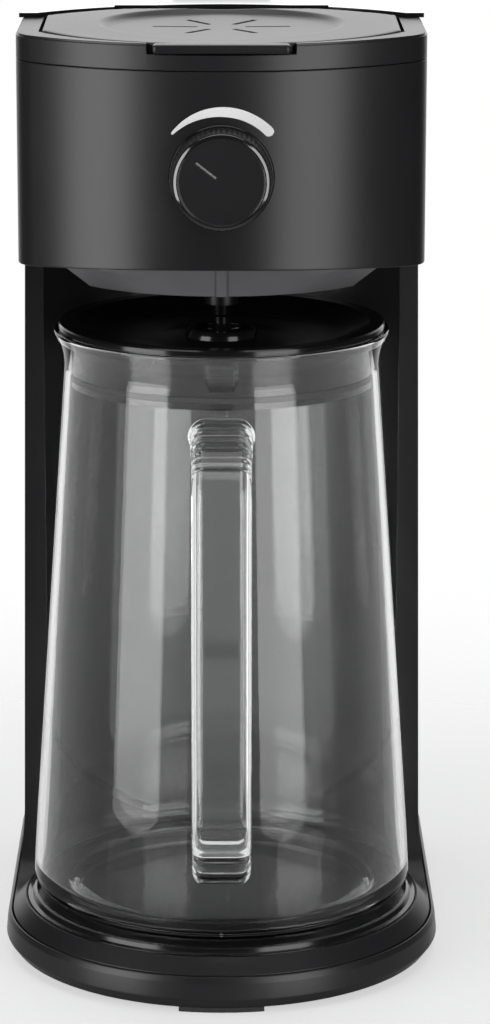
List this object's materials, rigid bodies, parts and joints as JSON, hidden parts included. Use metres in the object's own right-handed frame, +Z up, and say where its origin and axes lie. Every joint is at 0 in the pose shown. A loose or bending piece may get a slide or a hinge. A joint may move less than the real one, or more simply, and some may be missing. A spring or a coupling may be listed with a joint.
{
  "type": "iced tea maker",
  "caption": "Free-standing iced tea maker: brew head with hinged lid and strength knob, glass pitcher in a column bay, lift-off water tank behind and a round-nosed base.",
  "frame": {"origin": "centre of the footprint at table level, under the feet", "axes": "+Z up, the front with the knob and the pitcher handle faces -Y, +X to the right seen from the front"},
  "size_m": [0.179, 0.264, 0.3863],
  "materials": {
    "body_black": "satin",
    "trim_black": "gloss",
    "jar_glass": "clear",
    "tank_clear": "smoke grey clear plastic",
    "rubber": "matt",
    "silicone": "satin",
    "metal": "satin",
    "cast": "cast",
    "white_plastic": "matt",
    "filter_plastic": "matt"
  },
  "bodies": {
    "machine": {"base_band": "body_black", "base_plate": "body_black", "foot_pads": "rubber", "base_screws": "metal", "main_body": "body_black", "seat_plate": "trim_black", "column_back": "body_black", "rear_cover": "body_black", "tank_deck": "body_black", "socket_seal": "rubber", "housing_shell": "body_black", "top_ring": "body_black", "rear_deck": "body_black", "lid_hinge_pin": "metal", "knob_bezel": "trim_black", "shaft_bushing": "white_plastic", "rack_guide": "white_plastic", "basket_carrier": "body_black", "brew_basket": "body_black", "mesh_filter": "filter_plastic", "drip_spring": "metal", "water_spout": "white_plastic", "riser_hose": "silicone", "inlet_hose": "silicone", "hose_clips": "metal", "check_valve": "white_plastic", "heater_block": "cast", "heater_bracket": "metal", "thermostat": "white_plastic", "thermal_fuse": "metal", "terminal_block": "white_plastic", "switch_housing": "trim_black", "cord_gland": "rubber", "head_screws": "metal"},
    "brew_lid": {"brew_lid": "body_black", "shower_plate": "white_plastic"},
    "knob": {"strength_knob": "body_black", "knob_shaft": "white_plastic"},
    "gate": {"gate_rack": "white_plastic"},
    "drip_valve": {"drip_valve": "trim_black"},
    "pitcher": {"pitcher_glass": "jar_glass", "pitcher_handle": "jar_glass"},
    "pitcher_cover": {"pitcher_lid": "trim_black", "lid_gasket": "rubber"},
    "tank": {"water_tank": "tank_clear", "tank_lid_pin": "metal", "tank_valve_spring": "metal"},
    "tank_cover": {"tank_lid": "body_black"},
    "tank_valve": {"tank_valve": "white_plastic"},
    "rocker": {"power_rocker": "trim_black"}
  },
  "joints": [
    {"name": "brew_lid_hinge", "type": "hinge", "parent": "machine", "child": "brew_lid", "pos_m": [0, 0.0354, 0.3784], "axis": [-1, 0, 0], "range_deg": [0, 78]},
    {"name": "knob_turn", "type": "hinge", "parent": "machine", "child": "knob", "pos_m": [0, -0.09, 0.3306], "axis": [0, 1, 0], "range_deg": [0, 104]},
    {"name": "gate_slide", "type": "slide", "parent": "machine", "child": "gate", "axis": [-1, 0, 0], "range_m": [0, 0.0128]},
    {"name": "pitcher_slide", "type": "slide", "parent": "machine", "child": "pitcher", "axis": [0, -1, 0], "range_m": [0, 0.25]},
    {"name": "cover_turn", "type": "hinge", "parent": "pitcher", "child": "pitcher_cover", "pos_m": [0, -0.018, 0.2601], "axis": [0, 0, 1], "range_deg": [0, 90]},
    {"name": "drip_valve_slide", "type": "slide", "parent": "machine", "child": "drip_valve", "axis": [0, 0, -1], "range_m": [0, 0.0015], "deforming": ["drip_spring"]},
    {"name": "tank_lift", "type": "slide", "parent": "machine", "child": "tank", "axis": [0, 0, 1], "range_m": [0, 0.26]},
    {"name": "tank_lid_hinge", "type": "hinge", "parent": "tank", "child": "tank_cover", "pos_m": [0, 0.128, 0.3614], "axis": [-1, 0, 0], "range_deg": [0, 95]},
    {"name": "tank_valve_slide", "type": "slide", "parent": "tank", "child": "tank_valve", "axis": [0, 0, -1], "range_m": [0, 0.0025], "deforming": ["tank_valve_spring"]},
    {"name": "rocker_tip", "type": "hinge", "parent": "machine", "child": "rocker", "pos_m": [0.045, 0.1255, 0.04], "axis": [1, 0, 0], "range_deg": [0, 14]}
  ],
  "couplings": [
    {"joint": "gate_slide", "follows": "knob_turn", "m_per_rad": 0.007},
    {"joint": "drip_valve_slide", "follows": "pitcher_slide", "ratio": 0.00599},
    {"joint": "tank_valve_slide", "follows": "tank_lift", "ratio": 0.0096}
  ]
}
